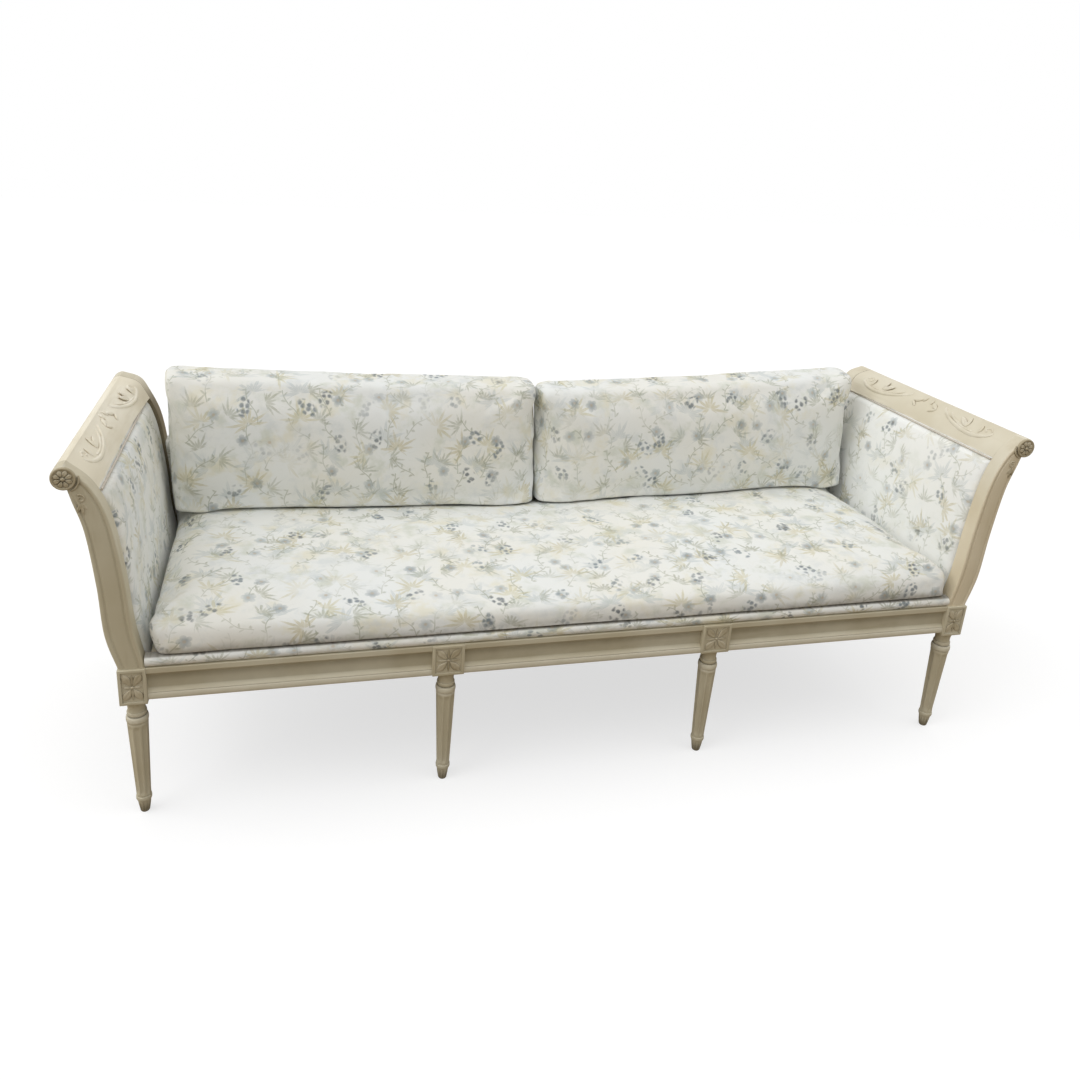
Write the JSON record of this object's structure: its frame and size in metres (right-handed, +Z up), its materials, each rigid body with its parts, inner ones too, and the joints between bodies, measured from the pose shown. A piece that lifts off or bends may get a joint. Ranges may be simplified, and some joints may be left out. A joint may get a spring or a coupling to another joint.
{
  "type": "upholstered settee",
  "caption": "Long neoclassical settee with a painted wood frame, out-scrolled arms, fluted tapered legs, a loose bench seat cushion and loose back cushions in a leafy print.",
  "frame": {"origin": "on the floor under the middle of the settee: the centre of the bottom of its bounding box", "axes": "+X along the length to the sitter's left, which is the right of the picture; +Y from the front to the back; +Z up"},
  "size_m": [2.2318, 0.707, 0.8439],
  "materials": {
    "painted_wood": "cream paint under a thin brown-grey antique glaze, satin",
    "frame_wood": "bare sawn beech",
    "printed_fabric": "off-white linen with a small leaf and blossom print, matt",
    "jute_webbing": "woven jute strap",
    "deck_cloth": "plain undyed cotton",
    "dust_cloth": "thin black lining cloth"
  },
  "bodies": {
    "frame": {"arm_crest_left": "painted_wood", "arm_crest_right": "painted_wood", "arm_outer_panel_left": "printed_fabric", "arm_outer_panel_right": "printed_fabric", "arm_pad_left": "printed_fabric", "arm_pad_right": "printed_fabric", "arm_stile_front_left": "painted_wood", "arm_stile_front_right": "painted_wood", "arm_stile_rear_left": "painted_wood", "arm_stile_rear_right": "painted_wood", "arm_tack_rail_left": "frame_wood", "arm_tack_rail_right": "frame_wood", "back_outer_panel": "printed_fabric", "back_pad": "printed_fabric", "back_post_left": "frame_wood", "back_post_right": "frame_wood", "back_top_rail": "frame_wood", "corner_block_front_left": "frame_wood", "corner_block_front_right": "frame_wood", "corner_block_rear_left": "frame_wood", "corner_block_rear_right": "frame_wood", "deck_pad": "deck_cloth", "dust_cover": "dust_cloth", "front_edge_roll": "printed_fabric", "front_leg_left": "painted_wood", "front_leg_mid_left": "painted_wood", "front_leg_mid_right": "painted_wood", "front_leg_right": "painted_wood", "front_rail_left": "painted_wood", "front_rail_mid": "painted_wood", "front_rail_right": "painted_wood", "rear_leg_left": "painted_wood", "rear_leg_mid_left": "painted_wood", "rear_leg_mid_right": "painted_wood", "rear_leg_right": "painted_wood", "rear_rail_left": "painted_wood", "rear_rail_mid": "painted_wood", "rear_rail_right": "painted_wood", "seat_brace_left": "frame_wood", "seat_brace_right": "frame_wood", "side_rail_left": "painted_wood", "side_rail_right": "painted_wood", "webbing_cross_1": "jute_webbing", "webbing_cross_10": "jute_webbing", "webbing_cross_2": "jute_webbing", "webbing_cross_3": "jute_webbing", "webbing_cross_4": "jute_webbing", "webbing_cross_5": "jute_webbing", "webbing_cross_6": "jute_webbing", "webbing_cross_7": "jute_webbing", "webbing_cross_8": "jute_webbing", "webbing_cross_9": "jute_webbing", "webbing_long_1": "jute_webbing", "webbing_long_2": "jute_webbing", "webbing_long_3": "jute_webbing"},
    "seat_cushion_body": {"seat_cushion": "printed_fabric"},
    "back_cushion_left_body": {"back_cushion_left": "printed_fabric"},
    "back_cushion_right_body": {"back_cushion_right": "printed_fabric"}
  },
  "joints": [
    {"name": "seat_cushion_lift", "type": "slide", "parent": "frame", "child": "seat_cushion_body", "axis": [0, 0, 1], "range_m": [0, 0.25]},
    {"name": "back_cushion_left_lift", "type": "slide", "parent": "seat_cushion_body", "child": "back_cushion_left_body", "axis": [0, 0, 1], "range_m": [0, 0.25]},
    {"name": "back_cushion_right_lift", "type": "slide", "parent": "seat_cushion_body", "child": "back_cushion_right_body", "axis": [0, 0, 1], "range_m": [0, 0.25]}
  ]
}
